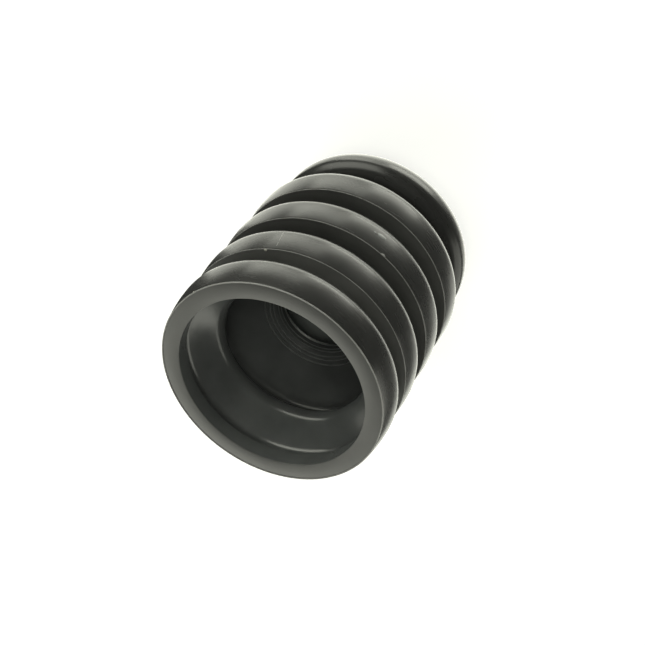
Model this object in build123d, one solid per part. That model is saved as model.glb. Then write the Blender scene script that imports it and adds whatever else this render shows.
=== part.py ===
from build123d import *
import os
from math import asin, atan2, cos, hypot, sin, tau

# Rubber bellows boot, moulded in one piece: a body of revolution about +Z.
# It stands on the flat end of its rod collar with its wide mouth up, and the origin is
# the middle of that flat end. The section below is drawn in radius and depth, where
# depth is measured down from the mouth face. All sizes are in millimetres.

# ---- Outside: ribs, numbered from the mouth -------------------------------------
rib_radius = 25.0           # crest of a rib
rib_count = 4               # ribs of full size; an end bead follows them
mouth_edge_radius = 24.33   # outer edge of the mouth face
rib_edge_radius = 24.55     # sharp front edge of every later rib
first_pitch = 12.0          # mouth face to the front edge of rib 2
rib_pitch = 12.4            # front edge to front edge from there on
first_crest_setback = 5.65  # mouth face to the crest of rib 1
crest_setback = 5.1         # front edge to the crest of a later rib
crest_land = 0.4            # short straight stretch at the crest
shoulder_rounding = 3.5     # back of a rib, where it turns into the groove

# ---- Wall and folds --------------------------------------------------------------
# The inside of a fold follows the bottom of its groove: a nose, which is the smallest
# ring, and a step ring round it where the fold's front face turns down to the nose.
groove_radius = 12.25       # middle of the rounding at the bottom of a deep groove
groove_rounding = 0.7
groove_setback = 3.0        # how far it lies behind the front edge of the next rib
nose_wall = 2.25            # rubber between the groove's bottom and the nose
nose_rounding = 2.45
nose_rise = 0.2             # how far the nose lies in front of the groove's bottom
ring_step = 2.4             # nose to step ring, across
ring_rise = 2.5             # step ring in front of the groove's bottom
ring_rounding = 0.9
crest_wall = 3.6            # rubber at the crest of ribs 2 to 4
chamber_rounding = 2.3      # outer end of the space inside a rib
chamber_setback = 0.6       # middle of that rounding, behind the rib's crest

# ---- First fold, shallow so that the mouth stays wide ------------------------------
first_groove_radius = 20.75     # middle of the rounding at the groove's bottom
first_groove_rise = 1.0         # how far it lies in front of rib 2's front edge
first_groove_rounding = 0.8
ridge_radius = 16.25            # inner crest of the fold
ridge_setback = 0.45            # how far that crest lies behind rib 2's front edge
ridge_rounding = 2.45

# ---- Mouth: a lip with an undercut seat behind it --------------------------------
lip_radius = 20.5
lip_length = 3.4
seat_wall = 2.4             # rubber round the widest place of the seat
seat_depth = 5.55           # mouth face to that place
seat_rounding = 1.9

# ---- Small end: a rounded bead, a sloping end wall and the rod collar ------------
# The bead's places are measured from where a next rib would have its front edge.
bead_radius = 23.3
bead_front_rounding = 3.0
bead_front_setback = 4.4    # to the middle of the front rounding
bead_back_rounding = 5.5
bead_back_setback = 5.2     # to the middle of the back rounding
bead_wall = 2.4             # rubber at the bead's outside
bead_chamber_setback = 6.2  # to the middle of the rounding inside the bead
collar_radius = 11.5
collar_fillet = 1.5         # between the end wall and the collar
collar_projection = 4.0     # collar beyond the middle of that fillet
end_wall_depth = 9.6        # middle of the bead's back rounding to the same place
bore_radius = 7.5
bore_length = 6.5
bore_chamfer = 0.6          # both edges of the bore

# ---- Places worked out from these sizes --------------------------------------------
bead_start = first_pitch + (rib_count - 1) * rib_pitch
bead_back = bead_start + bead_back_setback
end_wall_foot = bead_back + end_wall_depth
height = end_wall_foot + collar_projection
chamber_radius = rib_radius - crest_wall
seat_radius = rib_radius - seat_wall
nose_radius = groove_radius - groove_rounding - nose_wall
ring_radius = nose_radius + ring_step


def front_of(rib):
    """Depth of a rib's front edge, where the bead counts as the rib after the last."""
    if rib == 1:
        return 0.0
    return first_pitch + (rib - 2) * rib_pitch


def crest_of(rib):
    """Depth at which a rib reaches its full radius."""
    if rib == 1:
        return first_crest_setback
    return front_of(rib) + crest_setback


def edge(radius, depth):
    """Sharp corner of the section."""
    return radius, height - depth, 0.0


def bulge(radius, depth, rounding):
    """Rounded corner with rubber inside it, given by the middle of its rounding."""
    return radius, height - depth, -rounding


def hollow(radius, depth, rounding):
    """Rounded corner with air inside it, given by the middle of its rounding."""
    return radius, height - depth, rounding


def touch(corner, heading):
    """Point where a line with this heading touches the rounding of a corner."""
    x, y, rounding = corner
    return Vector(x + rounding * sin(heading), y - rounding * cos(heading))


def heading_between(first, second):
    """Heading of the straight line that touches two corners of the section."""
    across = second[0] - first[0]
    up = second[1] - first[1]
    return atan2(up, across) - asin((second[2] - first[2]) / hypot(across, up))


def arc_round(corner, before, after):
    """Arc round a corner, from one heading to the next; hollow corners turn left."""
    turn = (after - before) % tau if corner[2] > 0 else -((before - after) % tau)
    ends = touch(corner, before), touch(corner, after)
    return ThreePointArc(ends[0], touch(corner, before + turn / 2), ends[1])


def outline(corners):
    """Lines from corner to corner, joined by arcs that are tangent to them."""
    pairs = list(zip(corners, corners[1:]))
    headings = [heading_between(first, second) for first, second in pairs]
    edges = []
    for place, ((first, second), heading) in enumerate(zip(pairs, headings)):
        edges.append(Line(touch(first, heading), touch(second, heading)))
        if second[2] and place + 1 < len(pairs):
            edges.append(arc_round(second, heading, headings[place + 1]))
    return edges


def rib_top(rib):
    """Slightly domed top of a rib, level at its crest and falling to its front edge."""
    front_radius = mouth_edge_radius if rib == 1 else rib_edge_radius
    front = Vector(front_radius, height - front_of(rib))
    crest = Vector(rib_radius, height - crest_of(rib))
    return TangentArc(crest, front, tangent=(0, 1))


def groove(rib):
    """Corners of the outside groove between one rib and the next."""
    crest = crest_of(rib)
    corners = [
        edge(rib_radius, crest),
        bulge(rib_radius - shoulder_rounding, crest + crest_land, shoulder_rounding),
    ]
    opening = front_of(rib + 1)
    if rib == 1:
        depth = opening - first_groove_rise
        corners.append(hollow(first_groove_radius, depth, first_groove_rounding))
    else:
        corners.append(hollow(groove_radius, opening + groove_setback, groove_rounding))
    return corners


def outside():
    """Outline of the outside, from the mouth face down to the bore's outer edge."""
    edges = []
    for rib in range(1, rib_count):
        edges.append(rib_top(rib))
        edges += outline(groove(rib) + [edge(rib_edge_radius, front_of(rib + 1))])
    small_end = [
        bulge(bead_radius - bead_front_rounding, bead_start + bead_front_setback,
              bead_front_rounding),
        bulge(bead_radius - bead_back_rounding, bead_back, bead_back_rounding),
        hollow(collar_radius + collar_fillet, end_wall_foot, collar_fillet),
        edge(collar_radius, height),
        edge(bore_radius + bore_chamfer, height),
        edge(bore_radius, height - bore_chamfer),
    ]
    return edges + [rib_top(rib_count)] + outline(groove(rib_count) + small_end)


def inside():
    """Outline of the inside, from the bore's outer edge up to the mouth's outer edge."""
    bore_start = height - bore_length
    bead_chamber = bead_radius - bead_wall - chamber_rounding
    rib_chamber = chamber_radius - chamber_rounding
    corners = [
        edge(bore_radius, height - bore_chamfer),
        edge(bore_radius, bore_start + bore_chamfer),
        edge(bore_radius + bore_chamfer, bore_start),
        hollow(bead_chamber, bead_start + bead_chamber_setback, chamber_rounding),
    ]
    for rib in range(rib_count, 1, -1):
        fold = front_of(rib + 1) + groove_setback
        corners += [
            bulge(nose_radius + nose_rounding, fold - nose_rise, nose_rounding),
            bulge(ring_radius + ring_rounding, fold - ring_rise, ring_rounding),
            hollow(rib_chamber, crest_of(rib) + chamber_setback, chamber_rounding),
        ]
    corners += [
        bulge(ridge_radius + ridge_rounding, first_pitch + ridge_setback, ridge_rounding),
        hollow(seat_radius - seat_rounding, seat_depth, seat_rounding),
        edge(lip_radius, lip_length),
        edge(lip_radius, 0),
        edge(mouth_edge_radius, 0),
    ]
    return outline(corners)


section = Plane.XZ * make_face(outside() + inside())
boot = revolve(section, axis=Axis.Z)

os.makedirs("parts", exist_ok=True)
export_step(boot, "parts/bellows_boot.step")
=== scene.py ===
"""Looks of a moulded rubber bellows boot, standing on its rod collar with its mouth up."""
from math import asin, atan2, ceil, cos, degrees, exp, hypot, radians, sin, tan, tau

import bmesh
import bpy
from mathutils import Matrix, Quaternion, Vector, noise


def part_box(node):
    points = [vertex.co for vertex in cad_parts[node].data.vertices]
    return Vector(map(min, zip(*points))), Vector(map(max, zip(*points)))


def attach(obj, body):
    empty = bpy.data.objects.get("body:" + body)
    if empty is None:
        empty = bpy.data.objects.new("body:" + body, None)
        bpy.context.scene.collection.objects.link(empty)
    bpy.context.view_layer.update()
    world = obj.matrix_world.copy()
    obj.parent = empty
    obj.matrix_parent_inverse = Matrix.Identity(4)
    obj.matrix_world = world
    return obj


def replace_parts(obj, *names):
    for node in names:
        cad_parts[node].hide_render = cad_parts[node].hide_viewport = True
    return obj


MM = 0.001

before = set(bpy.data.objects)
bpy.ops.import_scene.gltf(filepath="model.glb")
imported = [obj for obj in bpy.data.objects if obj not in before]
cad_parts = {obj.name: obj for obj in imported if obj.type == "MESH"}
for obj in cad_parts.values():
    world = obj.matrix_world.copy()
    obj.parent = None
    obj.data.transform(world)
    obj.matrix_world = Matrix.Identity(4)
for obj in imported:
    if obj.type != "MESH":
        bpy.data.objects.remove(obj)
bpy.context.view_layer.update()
BOOT_NODE = "bellows_boot"
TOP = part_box(BOOT_NODE)[1].z / MM   # height of the mouth face, in millimetres

# ---- Section of the boot in millimetres, with the sizes of the solid ----------------
# Depths are measured down from the mouth face. Points of the section are (radius, -depth).
RIB_RADIUS = 25.0                   # ribs: crest, front edge and rounded back
RIB_COUNT = 4
MOUTH_EDGE_RADIUS = 24.33
RIB_EDGE_RADIUS = 24.55
FIRST_PITCH = 12.0
RIB_PITCH = 12.4
FIRST_CREST_SETBACK = 5.65
CREST_SETBACK = 5.1
CREST_LAND = 0.4
SHOULDER_ROUNDING = 3.5
GROOVE_RADIUS = 12.25               # deep folds: groove outside, nose and step ring inside
GROOVE_ROUNDING = 0.7
GROOVE_SETBACK = 3.0
NOSE_WALL = 2.25
NOSE_ROUNDING = 2.45
NOSE_RISE = 0.2
RING_STEP = 2.4
RING_RISE = 2.5
RING_ROUNDING = 0.9
CREST_WALL = 3.6                    # space inside a rib
CHAMBER_ROUNDING = 2.3
CHAMBER_SETBACK = 0.6
FIRST_GROOVE_RADIUS = 20.75         # shallow first fold: groove outside, ridge inside
FIRST_GROOVE_RISE = 1.0
FIRST_GROOVE_ROUNDING = 0.8
RIDGE_RADIUS = 16.25
RIDGE_SETBACK = 0.45
RIDGE_ROUNDING = 2.45
LIP_RADIUS = 20.5                   # mouth: lip and the undercut seat behind it
LIP_LENGTH = 3.4
SEAT_WALL = 2.4
SEAT_DEPTH = 5.55
SEAT_ROUNDING = 1.9
BEAD_RADIUS = 23.3                  # small end: bead, end wall, rod collar and bore
BEAD_FRONT_ROUNDING = 3.0
BEAD_FRONT_SETBACK = 4.4
BEAD_BACK_ROUNDING = 5.5
BEAD_BACK_SETBACK = 5.2
BEAD_WALL = 2.4
BEAD_CHAMBER_SETBACK = 6.2
COLLAR_RADIUS = 11.5
COLLAR_FILLET = 1.5
END_WALL_DEPTH = 9.6
BORE_RADIUS = 7.5
BORE_LENGTH = 6.5
BORE_CHAMFER = 0.6
BEAD_START = FIRST_PITCH + (RIB_COUNT - 1) * RIB_PITCH
NOSE_RADIUS = GROOVE_RADIUS - GROOVE_ROUNDING - NOSE_WALL
RING_RADIUS = NOSE_RADIUS + RING_STEP

EDGE_SOFTNESS = 0.12                # moulded edges are not razor sharp
SHARP_TURN = radians(25)            # corners that turn further than this are softened
SOFT_STEPS = 4                      # steps round a softened corner
ARC_STEP = 0.58                     # longest step along an arc of the section
LEAST_ARC_STEPS = 4
LINE_STEP = 2.6                     # longest step along a straight part
SAME_PLACE = 1e-4                   # points nearer than this count as one


def front_of(rib):
    """Depth of a rib's front edge, where the bead counts as the rib after the last."""
    return 0.0 if rib == 1 else FIRST_PITCH + (rib - 2) * RIB_PITCH


def crest_of(rib):
    """Depth at which a rib reaches its full radius."""
    return FIRST_CREST_SETBACK if rib == 1 else front_of(rib) + CREST_SETBACK


def edge(radius, depth):
    """Sharp corner of the section."""
    return radius, -depth, 0.0


def bulge(radius, depth, rounding):
    """Rounded corner with rubber inside it, given by the middle of its rounding."""
    return radius, -depth, -rounding


def hollow(radius, depth, rounding):
    """Rounded corner with air inside it, given by the middle of its rounding."""
    return radius, -depth, rounding


def touch(corner, heading):
    """Point where a line with this heading touches the rounding of a corner."""
    x, y, rounding = corner
    return Vector((x + rounding * sin(heading), y - rounding * cos(heading)))


def heading_between(first, second):
    """Heading of the straight line that touches two corners of the section."""
    across, up = second[0] - first[0], second[1] - first[1]
    return atan2(up, across) - asin((second[2] - first[2]) / hypot(across, up))


def outline(corners):
    """Points along the lines between corners and along the arcs round them."""
    pairs = list(zip(corners, corners[1:]))
    headings = [heading_between(*pair) for pair in pairs]
    points = []
    for place, ((first, second), heading) in enumerate(zip(pairs, headings)):
        start, end = touch(first, heading), touch(second, heading)
        steps = max(1, ceil((end - start).length / LINE_STEP))
        points += [start.lerp(end, step / steps) for step in range(steps + 1)]
        if second[2] and place + 1 < len(pairs):
            after = headings[place + 1]
            turn = (after - heading) % tau if second[2] > 0 else -((heading - after) % tau)
            steps = max(LEAST_ARC_STEPS, ceil(abs(turn * second[2]) / ARC_STEP))
            points += [touch(second, heading + turn * step / steps)
                       for step in range(1, steps)]
    return points


def rib_top(rib):
    """Domed top of a rib, from its front edge to its crest."""
    front_radius = MOUTH_EDGE_RADIUS if rib == 1 else RIB_EDGE_RADIUS
    run, rise = crest_of(rib) - front_of(rib), RIB_RADIUS - front_radius
    camber = (rise ** 2 + run ** 2) / (2 * rise)
    span = asin(run / camber)
    steps = ceil(run / ARC_STEP)
    points = []
    for step in range(steps + 1):
        angle = span * (1 - step / steps)
        points.append(Vector((RIB_RADIUS - camber * (1 - cos(angle)),
                              camber * sin(angle) - crest_of(rib))))
    return points


def groove(rib):
    """Corners of the outside groove between one rib and the next."""
    crest, opening = crest_of(rib), front_of(rib + 1)
    corners = [edge(RIB_RADIUS, crest),
               bulge(RIB_RADIUS - SHOULDER_ROUNDING, crest + CREST_LAND, SHOULDER_ROUNDING)]
    if rib == 1:
        corners.append(hollow(FIRST_GROOVE_RADIUS, opening - FIRST_GROOVE_RISE,
                              FIRST_GROOVE_ROUNDING))
    else:
        corners.append(hollow(GROOVE_RADIUS, opening + GROOVE_SETBACK, GROOVE_ROUNDING))
    return corners


def outside():
    """Points of the outside, from the mouth's outer edge to the bore's outer edge."""
    bead_back = BEAD_START + BEAD_BACK_SETBACK
    foot = bead_back + END_WALL_DEPTH
    points = []
    for rib in range(1, RIB_COUNT):
        points += rib_top(rib)
        points += outline(groove(rib) + [edge(RIB_EDGE_RADIUS, front_of(rib + 1))])
    small_end = [
        bulge(BEAD_RADIUS - BEAD_FRONT_ROUNDING, BEAD_START + BEAD_FRONT_SETBACK,
              BEAD_FRONT_ROUNDING),
        bulge(BEAD_RADIUS - BEAD_BACK_ROUNDING, bead_back, BEAD_BACK_ROUNDING),
        hollow(COLLAR_RADIUS + COLLAR_FILLET, foot, COLLAR_FILLET),
        edge(COLLAR_RADIUS, TOP),
        edge(BORE_RADIUS + BORE_CHAMFER, TOP),
    ]
    return points + rib_top(RIB_COUNT) + outline(groove(RIB_COUNT) + small_end)


def inside():
    """Points of the inside, from the bore's outer edge to the mouth's inner edge."""
    bore_start = TOP - BORE_LENGTH
    corners = [
        edge(BORE_RADIUS, TOP - BORE_CHAMFER),
        edge(BORE_RADIUS, bore_start + BORE_CHAMFER),
        edge(BORE_RADIUS + BORE_CHAMFER, bore_start),
        hollow(BEAD_RADIUS - BEAD_WALL - CHAMBER_ROUNDING, BEAD_START + BEAD_CHAMBER_SETBACK,
               CHAMBER_ROUNDING),
    ]
    for rib in range(RIB_COUNT, 1, -1):
        fold = front_of(rib + 1) + GROOVE_SETBACK
        corners += [
            bulge(NOSE_RADIUS + NOSE_ROUNDING, fold - NOSE_RISE, NOSE_ROUNDING),
            bulge(RING_RADIUS + RING_ROUNDING, fold - RING_RISE, RING_ROUNDING),
            hollow(RIB_RADIUS - CREST_WALL - CHAMBER_ROUNDING, crest_of(rib) + CHAMBER_SETBACK,
                   CHAMBER_ROUNDING),
        ]
    corners += [
        bulge(RIDGE_RADIUS + RIDGE_ROUNDING, FIRST_PITCH + RIDGE_SETBACK, RIDGE_ROUNDING),
        hollow(RIB_RADIUS - SEAT_WALL - SEAT_ROUNDING, SEAT_DEPTH, SEAT_ROUNDING),
        edge(LIP_RADIUS, LIP_LENGTH),
        edge(LIP_RADIUS, 0.0),
    ]
    return outline(corners)


def softened(points, softness):
    """Closed section with a small rounding at each sharp corner.

    Each of its points goes with the finish of the face that follows it.
    """
    points = [point for place, point in enumerate(points)
              if (point[0] - points[place - 1][0]).length > SAME_PLACE]
    result = []
    for place, (point, finish) in enumerate(points):
        before, after = points[place - 1][0], points[(place + 1) % len(points)][0]
        arrive, leave = (point - before).normalized(), (after - point).normalized()
        turn = atan2(arrive.x * leave.y - arrive.y * leave.x, arrive.dot(leave))
        if abs(turn) < SHARP_TURN:
            result.append((point, finish))
            continue
        start = point - arrive * softness * tan(abs(turn) / 2)
        side = 1 if turn > 0 else -1
        middle = start + Vector((-arrive.y, arrive.x)) * softness * side
        for step in range(SOFT_STEPS + 1):
            angle = atan2(start.y - middle.y, start.x - middle.x) + turn * step / SOFT_STEPS
            result.append((middle + Vector((cos(angle), sin(angle))) * softness, finish))
    return result


# ---- Materials ------------------------------------------------------------------------
CLOUD_DETAIL = 3.0                  # detail of every noise here
NOISE_RANGE = (0.2, 0.8)            # nearly all of a noise lies between these
GLOSS_SCALE = 90.0                  # scales of the noises, per metre
TINT_SCALE = 160.0
STREAK_SCALE = 1500.0
GRAIN_SCALE = 2600.0
STREAK_SQUEEZE = 0.003              # a radian round the axis counts as this many metres
GLOSS_CHANGE = 0.02                 # cloudy change of the roughness, either way
DARKEST, PALEST = 0.85, 1.2         # cloudy change of the colour, times the colour
GRAIN_DEPTH = 0.00001


def feed(tree, socket, value):
    """Give a socket a number, or link it to another socket."""
    if isinstance(value, bpy.types.NodeSocket):
        tree.links.new(value, socket)
    else:
        socket.default_value = value


def calculated(tree, operation, first, second):
    """Output of a Math node."""
    node = tree.nodes.new("ShaderNodeMath")
    node.operation = operation
    feed(tree, node.inputs[0], first)
    feed(tree, node.inputs[1], second)
    return node.outputs["Value"]


def carried(tree, value, given, wanted):
    """Value carried from one range to another, each (low, high), and kept inside it."""
    node = tree.nodes.new("ShaderNodeMapRange")
    node.inputs["From Min"].default_value, node.inputs["From Max"].default_value = given
    node.inputs["To Min"].default_value, node.inputs["To Max"].default_value = wanted
    tree.links.new(value, node.inputs["Value"])
    return node.outputs["Result"]


def clouds(tree, vector, scale):
    """Soft noise over the surface."""
    node = tree.nodes.new("ShaderNodeTexNoise")
    node.inputs["Scale"].default_value = scale
    node.inputs["Detail"].default_value = CLOUD_DETAIL
    tree.links.new(vector, node.inputs["Vector"])
    return node.outputs["Fac"]


def pressed_round(tree, place):
    """Place with its way round the axis pressed together, which turns noise to streaks."""
    apart = tree.nodes.new("ShaderNodeSeparateXYZ")
    tree.links.new(place, apart.inputs["Vector"])
    angle = calculated(tree, "ARCTAN2", apart.outputs["Y"], apart.outputs["X"])
    rolled = tree.nodes.new("ShaderNodeCombineXYZ")
    tree.links.new(calculated(tree, "MULTIPLY", angle, STREAK_SQUEEZE), rolled.inputs["X"])
    tree.links.new(apart.outputs["Z"], rolled.inputs["Z"])
    return rolled.outputs["Vector"]


def rubber_material(name, colour, shine, roughness, grain, streaks):
    """Rubber with a cloudy colour and gloss, wiped streaks round the axis and a fine grain."""
    material = bpy.data.materials.new(name)
    material.use_nodes = True
    tree = material.node_tree
    shader = tree.nodes["Principled BSDF"]
    shader.inputs["Specular IOR Level"].default_value = shine
    place = tree.nodes.new("ShaderNodeTexCoord").outputs["Object"]

    gloss = carried(tree, clouds(tree, place, GLOSS_SCALE), NOISE_RANGE,
                   (roughness - GLOSS_CHANGE, roughness + GLOSS_CHANGE))
    wiped = carried(tree, clouds(tree, pressed_round(tree, place), STREAK_SCALE), NOISE_RANGE,
                   (-streaks, streaks))
    tree.links.new(calculated(tree, "ADD", gloss, wiped), shader.inputs["Roughness"])

    tint = tree.nodes.new("ShaderNodeMix")
    tint.data_type = "RGBA"
    tint.inputs["A"].default_value = [part * DARKEST for part in colour] + [1.0]
    tint.inputs["B"].default_value = [part * PALEST for part in colour] + [1.0]
    paleness = carried(tree, clouds(tree, place, TINT_SCALE), NOISE_RANGE, (0.0, 1.0))
    tree.links.new(paleness, tint.inputs["Factor"])
    tree.links.new(tint.outputs["Result"], shader.inputs["Base Color"])

    bump = tree.nodes.new("ShaderNodeBump")
    bump.inputs["Strength"].default_value = grain
    bump.inputs["Distance"].default_value = GRAIN_DEPTH
    tree.links.new(clouds(tree, place, GRAIN_SCALE), bump.inputs["Height"])
    tree.links.new(bump.outputs["Normal"], shader.inputs["Normal"])
    return material


# Ribs and small end; groove walls and inside, paler as painted light in their shade; a painted
# highlight on the blister and fold rings;
# inside past the first deep fold, paler still as painted light; mouth face; flash with
# scratches, worn and with a painted highlight; and pale specks.
FINISHES = {            # material, colour, shine, roughness, grain, streaks
    "moulded": ("moulded_rubber", (0.020, 0.0202, 0.0198), 0.38, 0.27, 0.1, 0.012),
    # groove walls, paler than the ribs: painted light in the shade of the grooves
    "groove": ("groove_painted_light_rubber", (0.065, 0.0656, 0.0638), 0.5, 0.36, 0.1, 0.0),
    # inside, and past the first deep fold, paler than the ribs: painted light in the shade of
    # the hollow
    "inner": ("inner_painted_light_rubber", (0.072, 0.0757, 0.0760), 0.65, 0.24, 0.1, 0.0),
    # paler finish of the blister and the fold rings: a painted highlight
    "painted_highlight": ("painted_highlight_rubber", (0.128, 0.133, 0.133), 0.5, 0.32, 0.1, 0.0),
    "deep": ("deep_painted_light_rubber", (0.19, 0.202, 0.203), 0.4, 0.4, 0.1, 0.0),
    "trimmed": ("trimmed_rubber", (0.047, 0.0475, 0.046), 0.75, 0.36, 0.9, 0.0),
    # paler flash, flake and scratches: wear on the scratches and flake, a painted highlight
    # along the flash on the front edges
    "wear_and_highlight": ("worn_edge_and_highlight", (0.22, 0.22, 0.215), 0.6, 0.42, 0.3, 0.0),
    "pale": ("pale_dust", (0.38, 0.37, 0.33), 0.5, 0.7, 0.5, 0.0),
}
MATERIALS = {finish: rubber_material(*values) for finish, values in FINISHES.items()}


# ---- Making pieces ----------------------------------------------------------------------
def piece(name, vertices, faces, finishes):
    """Closed smooth piece of the boot from points in millimetres and a finish for each face."""
    mesh = bpy.data.meshes.new(name)
    mesh.from_pydata([Vector(vertex) * MM for vertex in vertices], [], faces)
    used = list(dict.fromkeys(finishes))
    for finish in used:
        mesh.materials.append(MATERIALS[finish])
    mesh.polygons.foreach_set("material_index", [used.index(finish) for finish in finishes])
    mesh.polygons.foreach_set("use_smooth", [True] * len(faces))
    shape = bmesh.new()
    shape.from_mesh(mesh)
    bmesh.ops.recalc_face_normals(shape, faces=shape.faces)
    shape.to_mesh(mesh)
    shape.free()
    made = bpy.data.objects.new(name, mesh)
    bpy.context.collection.objects.link(made)
    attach(made, "root")
    return made


def tube_faces(first, second, count):
    """Faces between two closed loops of vertices, given by each loop's first vertex."""
    faces = []
    for place in range(count):
        after = (place + 1) % count
        faces.append((first + place, second + place, second + after, first + after))
    return faces


def ring(name, station, finishes, segments):
    """Ring round the axis; station(angle) gives the points of its section at an angle."""
    vertices, faces = [], []
    count = len(finishes)
    for turn in range(segments):
        angle = tau * turn / segments
        vertices += [(point.x * cos(angle), point.x * sin(angle), TOP + point.y)
                     for point in station(angle)]
        faces += tube_faces(turn * count, (turn + 1) % segments * count, count)
    return piece(name, vertices, faces, finishes * segments)


def on_boot(azimuth, radius, depth):
    """Point in millimetres, from its azimuth in degrees, its radius and its depth."""
    angle = radians(azimuth)
    return Vector((radius * cos(angle), radius * sin(angle), TOP - depth))


# ---- The boot -----------------------------------------------------------------------------
BOOT_SEGMENTS = 240
MOULDED_RIM = 1.0                   # how far the ribs' own finish reaches into a groove
FOLD_DEPTH = front_of(3) + GROOVE_SETBACK       # middle of the first deep fold


def outside_finish(point):
    """Finish of the outside, where the walls of the grooves are paler than the ribs: painted
    light that lifts the shade in the grooves.
    """
    in_groove = point.x < RIB_RADIUS - MOULDED_RIM and MOULDED_RIM < -point.y < BEAD_START
    return "groove" if in_groove else "moulded"


def inside_finish(point):
    """Finish of the inside, paler than the outside and paler still beyond the middle of the
    first deep fold: painted light in the shade of the hollow.
    """
    return "deep" if -point.y > FOLD_DEPTH else "inner"


def boot_body():
    """The whole boot, from its section with softened edges."""
    profile = [(point, outside_finish(point)) for point in outside()]
    profile += [(point, inside_finish(point)) for point in inside()[:-1]]
    profile.append((Vector((LIP_RADIUS, 0.0)), "trimmed"))      # the mouth face starts here
    profile = softened(profile, EDGE_SOFTNESS)
    section = [point for point, finish in profile]
    finishes = [finish for point, finish in profile]
    return ring("boot_body", lambda angle: section, finishes, BOOT_SEGMENTS)


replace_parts(boot_body(), BOOT_NODE)


# ---- Flash that the mould's joint leaves along the front edges ---------------------------
FLASH_SEGMENTS = 1080               # fine enough for its ragged edge
MOUTH_FLASH_LEAN = Vector((0.95, -0.3)).normalized()
RIB_FLASH_LEAN = Vector((0.75, 0.65)).normalized()
FLASH_ROOT = 0.2                    # how deep it starts in the rubber
FLASH_ROOT_HALF = 0.07              # half its thickness there, and at its tip
FLASH_TIP_HALF = 0.045
WAVE_SCALE, WAVE_HEIGHT = 4.0, 0.5  # slow changes of its height, and quick ones
RAG_SCALE, RAG_HEIGHT = 45.0, 0.35


def flash(name, rib, height, seed, tears):
    """Thin ragged fin on a rib's front edge; tears are (azimuth, spread, extra height)."""
    radius = MOUTH_EDGE_RADIUS if rib == 1 else RIB_EDGE_RADIUS
    out = MOUTH_FLASH_LEAN if rib == 1 else RIB_FLASH_LEAN
    across = Vector((-out.y, out.x))
    root = Vector((radius, -front_of(rib))) - out * FLASH_ROOT

    def station(angle):
        place = Vector((cos(angle), sin(angle), seed))
        waves, rags = noise.noise(place * WAVE_SCALE), noise.noise(place * RAG_SCALE)
        tall = height * (1 + WAVE_HEIGHT * waves + RAG_HEIGHT * rags)
        for azimuth, spread, extra in tears:
            gap = (degrees(angle) - azimuth + 180) % 360 - 180
            tall += extra * exp(-(gap / spread) ** 2)
        tip = root + out * (FLASH_ROOT + tall)
        return [root - across * FLASH_ROOT_HALF, tip - across * FLASH_TIP_HALF,
                tip + across * FLASH_TIP_HALF, root + across * FLASH_ROOT_HALF]

    # the flash's paler finish is a painted highlight along the front edges
    return ring(name, station, ["wear_and_highlight"] * 4, FLASH_SEGMENTS)


# name, rib, height, seed of its unevenness, tears
flash("mouth_flash", 1, 0.05, 1.0, [])
flash("rib2_flash", 2, 0.13, 5.0,
      [(278, 1.2, 0.1), (283, 0.8, 0.08), (273.5, 1.0, 0.08), (259, 1.5, 0.06)])
flash("rib3_flash", 3, 0.12, 9.0, [(262.2, 0.8, 0.12)])
flash("rib4_flash", 4, 0.11, 13.0, [])


# ---- Fine rings that the turned core leaves on the first deep fold -----------------------
FOLD_RING_SEGMENTS = 360
FOLD_RING_ROOT = 0.1                # how deep it starts in the rubber
HAUNCH_WIDTH = 0.55                 # shares of its half width and height at its haunches
HAUNCH_HEIGHT = 0.6
CONE_RINGS = (0.0, 0.55, 0.95)      # shares of the way from the step ring to the nose
CONE_RING_SIZE = (0.22, 0.09)       # half width and height
NOSE_RINGS = (54.0, 70.0)           # how far the nose's surface leans there, in degrees
NOSE_RING_SIZE = (0.16, 0.07)


def fold_ring(number, spot, lean, size):
    """Low bead on the fold, at a spot whose normal leans from +Z towards the axis."""
    half_width, lift = size
    normal = Vector((-sin(lean), cos(lean)))
    across = Vector((normal.y, -normal.x))
    section = [spot - normal * FOLD_RING_ROOT - across * half_width,
               spot + normal * lift * HAUNCH_HEIGHT - across * half_width * HAUNCH_WIDTH,
               spot + normal * lift,
               spot + normal * lift * HAUNCH_HEIGHT + across * half_width * HAUNCH_WIDTH,
               spot - normal * FOLD_RING_ROOT + across * half_width]
    name = f"fold_ring_{number}"
    # the rings' paler finish is a painted highlight
    return ring(name, lambda angle: section, ["painted_highlight"] * len(section), FOLD_RING_SEGMENTS)


def fold_rings():
    """Rings on the cone from the step ring down to the nose, and on round the nose."""
    step_ring = bulge(RING_RADIUS + RING_ROUNDING, FOLD_DEPTH - RING_RISE, RING_ROUNDING)
    nose = bulge(NOSE_RADIUS + NOSE_ROUNDING, FOLD_DEPTH - NOSE_RISE, NOSE_ROUNDING)
    slope = heading_between(nose, step_ring)
    top, foot = touch(step_ring, slope), touch(nose, slope)
    for number, share in enumerate(CONE_RINGS, 1):
        fold_ring(number, top.lerp(foot, share), slope, CONE_RING_SIZE)
    for number, lean in enumerate(NOSE_RINGS, 1 + len(CONE_RINGS)):
        fold_ring(number, touch(nose, radians(lean)), radians(lean), NOSE_RING_SIZE)


fold_rings()


# ---- Flaws of the surface: lumps, specks and scratches -----------------------------------
LUMP_SMOOTHNESS = 4                 # subdivisions of the sphere that it starts from
LUMP_SCALE = 1.7                    # scale of its unevenness
SEAM_ROOT = 0.08                    # how deep it starts in the rubber
SEAM_TOP_HEIGHT = 0.7               # shares of its height and half width at its flat top
SEAM_TOP_WIDTH = 0.5
SEAM_SCALE, SEAM_UNEVENNESS = 3.0, 0.4
SEAM_END = 0.3                      # share of its height at both ends


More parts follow.
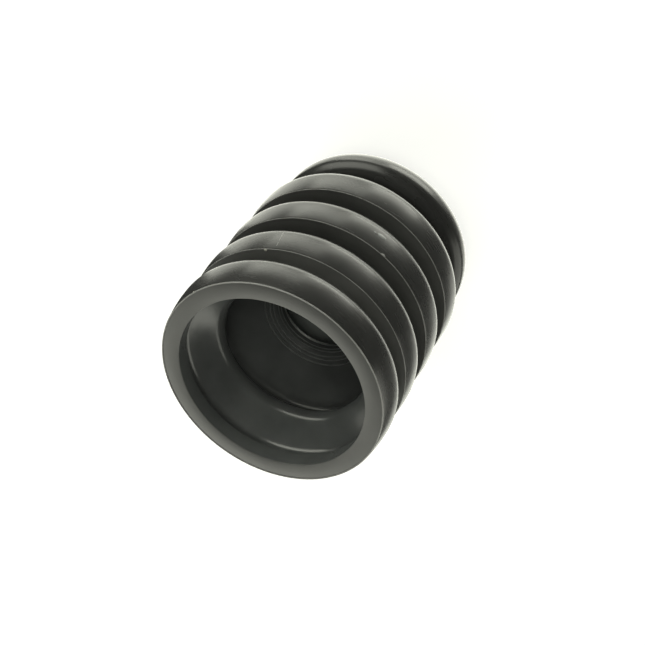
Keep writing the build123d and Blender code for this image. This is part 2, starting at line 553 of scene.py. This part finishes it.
def lump(name, azimuth, radius, depth, sizes, finish, seed, unevenness):
    """Small rounded lump; sizes are half its length round the boot, along it and outwards."""
    shape = bmesh.new()
    bmesh.ops.create_icosphere(shape, subdivisions=LUMP_SMOOTHNESS, radius=1.0)
    angle = radians(azimuth)
    outwards, along = Vector((cos(angle), sin(angle), 0.0)), Vector((0.0, 0.0, 1.0))
    turned = Matrix((along.cross(outwards), along, outwards)).transposed()
    middle = on_boot(azimuth, radius, depth)
    vertices = []
    for vertex in shape.verts:
        swell = 1 + unevenness * noise.noise(vertex.co * LUMP_SCALE + Vector((seed, 0, 0)))
        local = Vector([part * size * swell for part, size in zip(vertex.co, sizes)])
        vertices.append(middle + turned @ local)
    faces = [[vertex.index for vertex in face.verts] for face in shape.faces]
    shape.free()
    return piece(name, vertices, faces, [finish] * len(faces))


def seam(name, half_width, height, spine):
    """Fine raised line along points on the boot, each (azimuth, radius, depth)."""
    places = [on_boot(*point) for point in spine]
    vertices = []
    for number, place in enumerate(places):
        along = places[min(number + 1, len(places) - 1)] - places[max(number - 1, 0)]
        outwards = Vector((place.x, place.y, 0.0)).normalized()
        side = along.normalized().cross(outwards).normalized()
        fade = SEAM_END if number in (0, len(places) - 1) else 1.0
        lift = height * fade * (1 + SEAM_UNEVENNESS * noise.noise(place * SEAM_SCALE))
        root = place - outwards * SEAM_ROOT
        top = place + outwards * lift * SEAM_TOP_HEIGHT
        vertices += [root - side * half_width, top - side * half_width * SEAM_TOP_WIDTH,
                     top + side * half_width * SEAM_TOP_WIDTH, root + side * half_width]
    faces = [(0, 1, 2, 3), tuple(len(vertices) - back for back in (1, 2, 3, 4))]
    for number in range(len(places) - 1):
        faces += tube_faces(4 * number, 4 * number + 4, 4)
    return piece(name, vertices, faces, ["wear_and_highlight"] * len(faces))


# name, azimuth, radius, depth, half sizes, finish, seed of its unevenness, unevenness
lump("rib2_nub", 311.4, 24.42, 11.85, (0.32, 0.2, 0.2), "pale", 3.0, 0.6)
# the blister's paler finish is a painted highlight
lump("rib3_blister", 267.4, 24.93, 28.5, (1.15, 0.55, 0.16), "painted_highlight", 8.0, 0.3)
lump("rib3_blister_end", 271.2, 24.97, 28.3, (0.3, 0.22, 0.11), "painted_highlight", 2.0, 0.4)
lump("rib3_flake", 261.9, 24.6, 24.55, (0.42, 0.22, 0.16), "wear_and_highlight", 11.0, 0.8)
lump("mouth_speck", 114.6, 24.2, 0.02, (0.2, 0.16, 0.12), "pale", 5.0, 0.7)
lump("edge_speck", 339.2, 24.32, 0.3, (0.16, 0.13, 0.13), "pale", 6.0, 0.7)
# name, half width, height, line
seam("rib2_mark", 0.11, 0.07,
     [(307.1, 24.58, 12.3), (307.0, 24.75, 13.6), (307.4, 24.88, 15.0),
      (307.7, 24.97, 16.3), (308.3, 25.0, 17.6), (309.0, 24.7, 18.9)])
seam("rib3_scratch", 0.09, 0.06,
     [(262.6, 24.62, 25.0), (263.4, 24.66, 25.5), (263.9, 24.7, 26.1)])

# ---- Floor --------------------------------------------------------------------------------
FLOOR_HALF = 2.0
FLOOR_COLOUR = (0.9, 0.9, 0.89, 1.0)
FLOOR_ROUGHNESS = 0.9
FLOOR_GLOW = 0.52                   # added near the boot, for the camera alone
GLOW_REACH = (0.25, 0.9)            # over this distance it grows to full white


def floor_material():
    """Pale matt floor that glows for the camera, and most where no lamp reaches."""
    material = bpy.data.materials.new("pale_floor")
    material.use_nodes = True
    tree = material.node_tree
    shader = tree.nodes["Principled BSDF"]
    shader.inputs["Base Color"].default_value = FLOOR_COLOUR
    shader.inputs["Roughness"].default_value = FLOOR_ROUGHNESS
    shader.inputs["Specular IOR Level"].default_value = 0.0
    place = tree.nodes.new("ShaderNodeTexCoord")
    distance = tree.nodes.new("ShaderNodeVectorMath")
    distance.operation = "LENGTH"
    tree.links.new(place.outputs["Object"], distance.inputs[0])
    white = carried(tree, distance.outputs["Value"], GLOW_REACH, (FLOOR_GLOW, 1.0))
    seen = tree.nodes.new("ShaderNodeLightPath").outputs["Is Camera Ray"]
    glow = tree.nodes.new("ShaderNodeEmission")
    tree.links.new(calculated(tree, "MULTIPLY", seen, white), glow.inputs["Strength"])
    both = tree.nodes.new("ShaderNodeAddShader")
    tree.links.new(shader.outputs["BSDF"], both.inputs[0])
    tree.links.new(glow.outputs["Emission"], both.inputs[1])
    tree.links.new(both.outputs["Shader"], tree.nodes["Material Output"].inputs["Surface"])
    return material


def pale_floor():
    """Floor that is left out of reflections and hides nothing from the lamps below it."""
    mesh = bpy.data.meshes.new("floor")
    half = FLOOR_HALF
    mesh.from_pydata([(-half, -half, 0), (half, -half, 0), (half, half, 0), (-half, half, 0)],
                     [], [(0, 1, 2, 3)])
    mesh.materials.append(floor_material())
    floor = bpy.data.objects.new("floor", mesh)
    bpy.context.collection.objects.link(floor)
    floor.visible_glossy = False
    floor.visible_shadow = False


pale_floor()

# ---- Light: soft lamps beside, behind, above and below the boot --------------------------
LAMP_DISTANCE = 1.0
AREA_LAMP_FACTOR = 4.0              # power of an area lamp for its radiance and area
LEAST_NARROWING = 0.6               # steep lamps are narrower, but not by more than this
LAMP_COLOUR = (0.99, 1.0, 0.885)
CENTRE = Vector((0, 0, TOP / 2 * MM))
WORLD_LIGHT = 0.03


def soft_lamp(name, azimuth, elevation, half_width, half_height, radiance):
    """Rectangular soft lamp, given in degrees by where and how large the boot sees it."""
    lamp = bpy.data.lights.new(name, "AREA")
    lamp.shape = "RECTANGLE"
    narrowing = max(cos(radians(elevation)), LEAST_NARROWING)
    lamp.size = 2 * LAMP_DISTANCE * tan(radians(half_width)) * narrowing
    lamp.size_y = 2 * LAMP_DISTANCE * tan(radians(half_height))
    lamp.energy = radiance * AREA_LAMP_FACTOR * lamp.size * lamp.size_y
    lamp.color = LAMP_COLOUR
    a, e = radians(azimuth), radians(elevation)
    out = Vector((cos(a) * cos(e), sin(a) * cos(e), sin(e)))
    holder = bpy.data.objects.new(name, lamp)
    holder.location = CENTRE + out * LAMP_DISTANCE
    holder.rotation_mode = "QUATERNION"
    holder.rotation_quaternion = out.to_track_quat("Z", "Y")
    holder.visible_camera = False
    bpy.context.collection.objects.link(holder)
    return holder


# name, azimuth, elevation, half width, half height, radiance
soft_lamp("front_lamp", 275.0, -56.0, 26.0, 7.0, 5.5)       # highlights behind the rib crests
soft_lamp("front_side_lamp", 326.0, -44.0, 26.0, 7.0, 3.1)  # the same, further round
soft_lamp("side_lamp", 330.0, 10.0, 28.0, 24.0, 2.9)        # rib tops, seat and first fold
soft_lamp("back_lamp", 70.0, -75.0, 58.0, 28.0, 1.5)        # glancing light from underneath
soft_lamp("top_lamp", 95.0, 32.0, 52.0, 14.0, 2.0)          # mouth face and mouth
soft_lamp("far_side_lamp", 175.0, 0.0, 28.0, 30.0, 1.6)     # the ribs' other side
soft_lamp("low_lamp", 0.0, -90.0, 40.0, 40.0, 1.0)          # light table under the boot
# a fill beside the camera opens up the folds and leaves no highlight of its own
soft_lamp("fill_lamp", 270.0, 50.0, 18.0, 18.0, 2.8).visible_glossy = False


def studio_world():
    """White surroundings for the camera, and a trace of light from them for the boot."""
    world = bpy.data.worlds.new("studio")
    world.use_nodes = True
    tree = world.node_tree
    background = tree.nodes["Background"]
    background.inputs["Color"].default_value = (1, 1, 1, 1)
    seen = tree.nodes.new("ShaderNodeLightPath").outputs["Is Camera Ray"]
    choose = tree.nodes.new("ShaderNodeMix")
    choose.inputs["A"].default_value = WORLD_LIGHT
    choose.inputs["B"].default_value = 1.0
    tree.links.new(seen, choose.inputs["Factor"])
    tree.links.new(choose.outputs["Result"], background.inputs["Strength"])
    return world


bpy.context.scene.world = studio_world()

# ---- Camera -------------------------------------------------------------------------------
# It looks down into the mouth from in front, rolled so that the boot seems to lie on its side.
CAMERA_PLACE = Vector((0.0, -188.08, 249.41)) * MM
CAMERA_AIM = Vector((-1.45, 0.0, 43.77)) * MM
CAMERA_ROLL = 144.85
CAMERA_LENS, CAMERA_SENSOR = 72.56, 36.0
CAMERA_CLIP = (0.01, 20.0)


def studio_camera():
    """Camera at its place, aimed and rolled."""
    data = bpy.data.cameras.new("camera")
    data.lens, data.sensor_width = CAMERA_LENS, CAMERA_SENSOR
    data.clip_start, data.clip_end = CAMERA_CLIP
    holder = bpy.data.objects.new("camera", data)
    bpy.context.collection.objects.link(holder)
    holder.location = CAMERA_PLACE
    holder.rotation_mode = "QUATERNION"
    upright = (CAMERA_PLACE - CAMERA_AIM).to_track_quat("Z", "Y")
    holder.rotation_quaternion = upright @ Quaternion((0, 0, 1), radians(-CAMERA_ROLL))
    return holder


bpy.context.scene.camera = studio_camera()
bpy.context.scene.view_settings.view_transform = "Standard"
